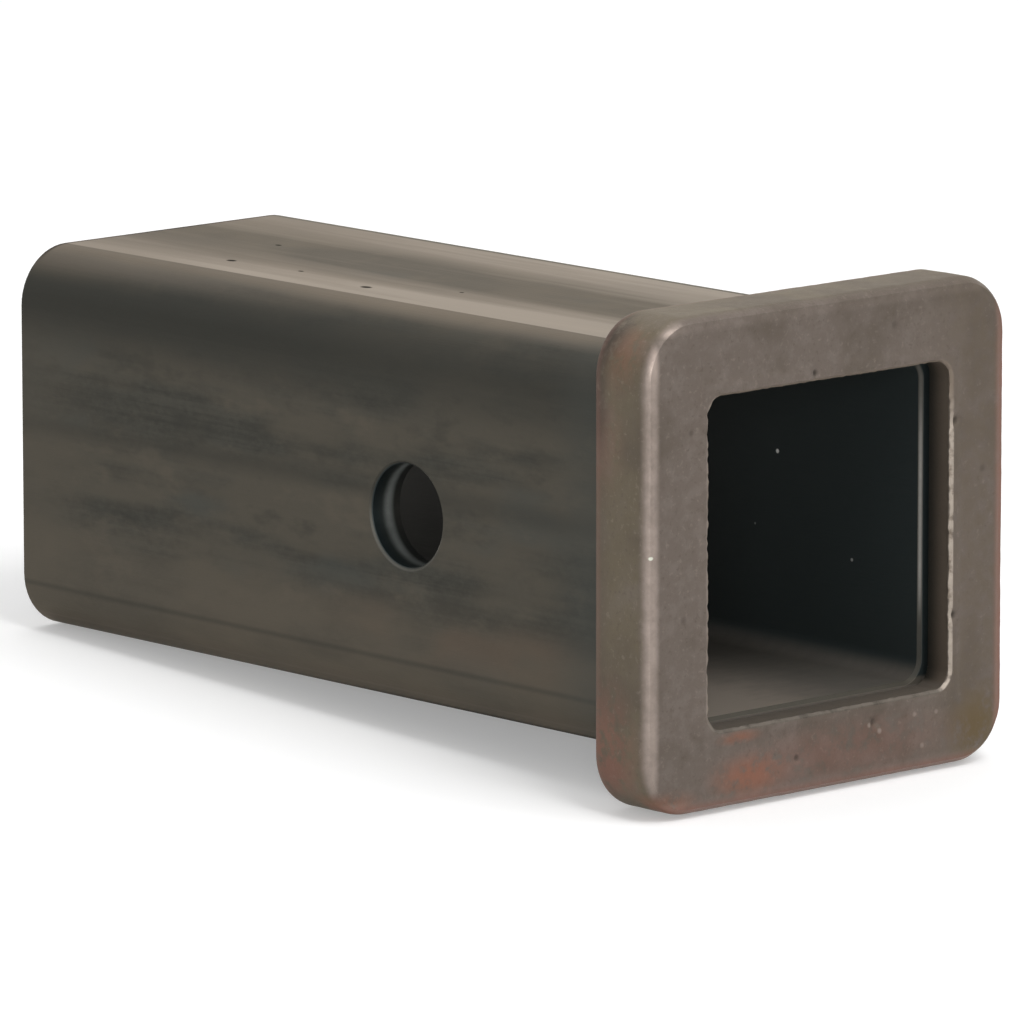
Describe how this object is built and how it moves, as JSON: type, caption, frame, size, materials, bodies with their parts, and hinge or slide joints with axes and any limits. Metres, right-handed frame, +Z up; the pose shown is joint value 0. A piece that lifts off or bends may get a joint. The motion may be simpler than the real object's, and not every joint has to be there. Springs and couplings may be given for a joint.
{
  "type": "receiver tube",
  "caption": "Square steel receiver tube with a cross pin hole and a forged collar welded round its mouth, which takes and pins a square hitch shank.",
  "frame": {"origin": "where the pin hole's axis crosses the tube's centre line", "axes": "+X across, along the pin hole; +Y along the tube, from the mouth to the rear; +Z up, out of the top flat"},
  "size_m": [0.0778, 0.1588, 0.0778],
  "materials": {
    "mill_scale_steel": "satin",
    "forged_steel": "satin",
    "weld_metal": "satin"
  },
  "bodies": {
    "root": {"receiver_tube": "mill_scale_steel", "collar": "forged_steel", "collar_weld": "weld_metal"}
  },
  "joints": []
}
